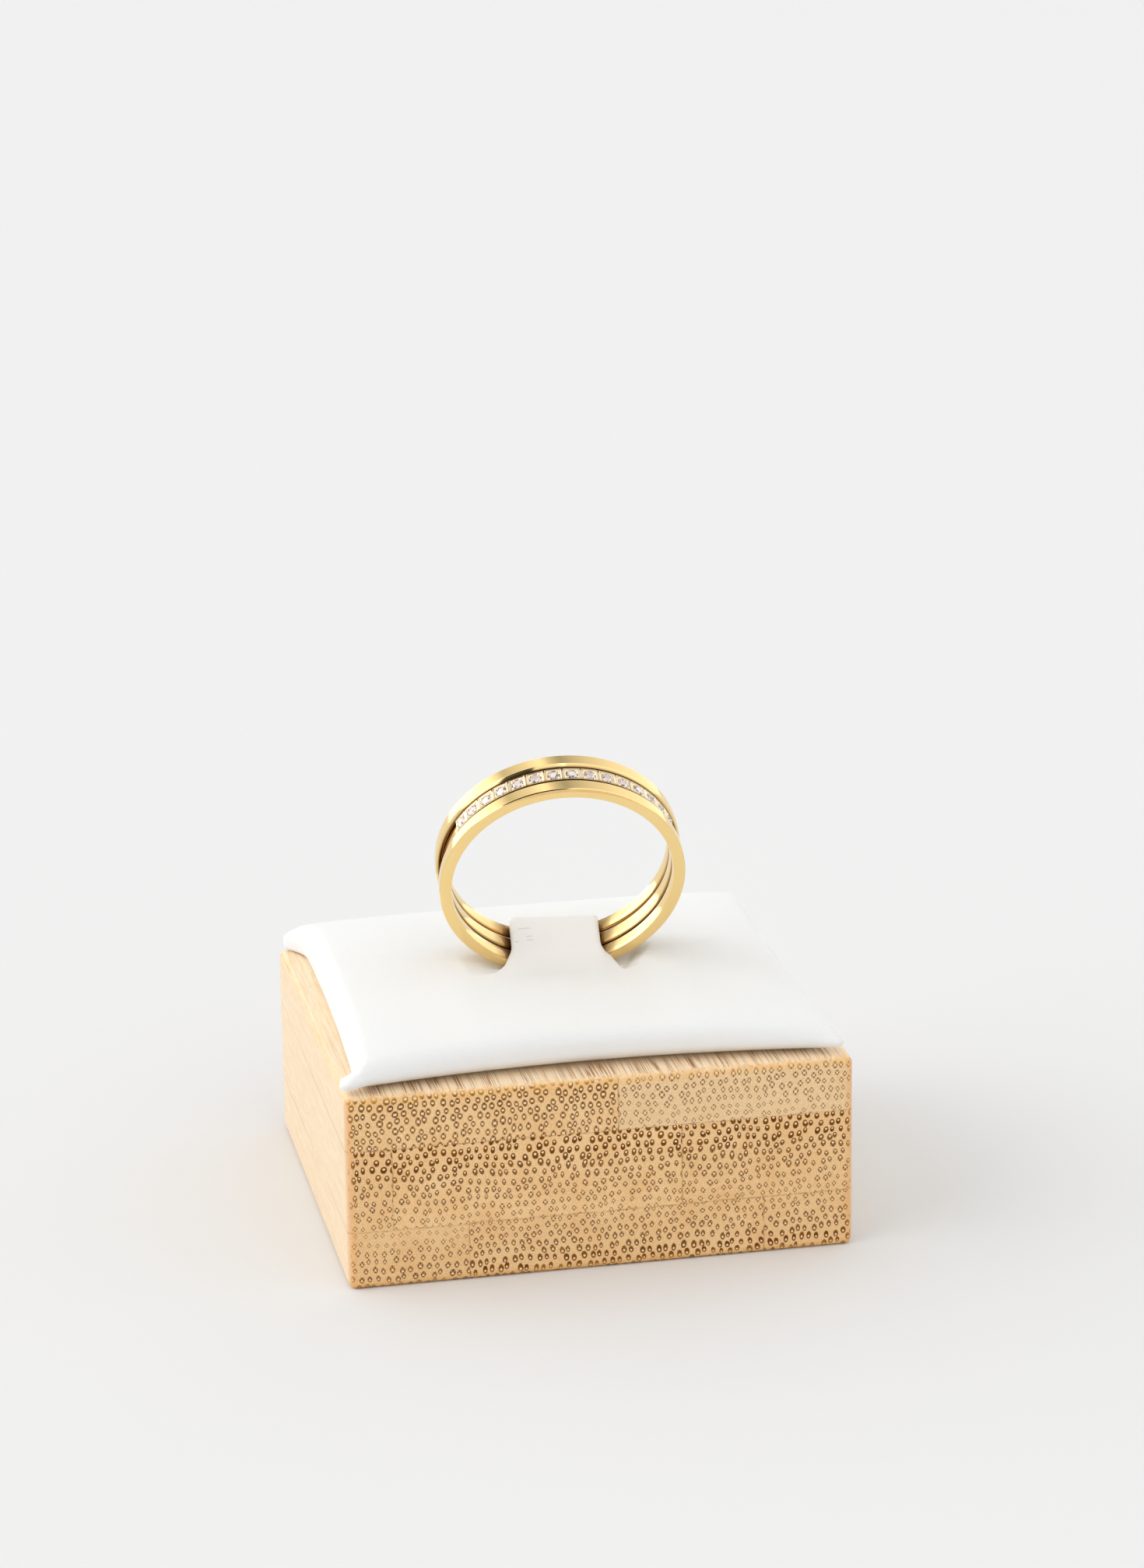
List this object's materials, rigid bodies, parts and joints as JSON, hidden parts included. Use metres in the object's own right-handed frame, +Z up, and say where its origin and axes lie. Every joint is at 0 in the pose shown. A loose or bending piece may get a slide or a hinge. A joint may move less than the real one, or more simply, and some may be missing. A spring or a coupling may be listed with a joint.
{
  "type": "stone-set ring on a display block",
  "caption": "Finger ring of three slim gold bands, the middle one set with round stones, held upright by the tongue of a leatherette pad on a bamboo block.",
  "frame": {"origin": "centre of the block's underside", "axes": "+X to the right across the block's front, +Y from the front to the back, +Z up"},
  "size_m": [0.0394, 0.035, 0.0368],
  "materials": {
    "gold": "polished yellow gold",
    "clear_stone": "clear, polished facets",
    "leatherette": "smooth white leatherette, soft sheen",
    "bamboo": "satin laminated bamboo, end grain to the front"
  },
  "bodies": {
    "root": {"bamboo_block": "bamboo", "cushion_pad": "leatherette", "clip_tongue": "leatherette", "front_band": "gold", "stone_band": "gold", "rear_band": "gold", "stone_01": "clear_stone", "stone_02": "clear_stone", "stone_03": "clear_stone", "stone_04": "clear_stone", "stone_05": "clear_stone", "stone_06": "clear_stone", "stone_07": "clear_stone", "stone_08": "clear_stone", "stone_09": "clear_stone", "stone_10": "clear_stone", "stone_11": "clear_stone", "stone_12": "clear_stone", "stone_13": "clear_stone", "stone_14": "clear_stone", "stone_15": "clear_stone"}
  },
  "joints": []
}
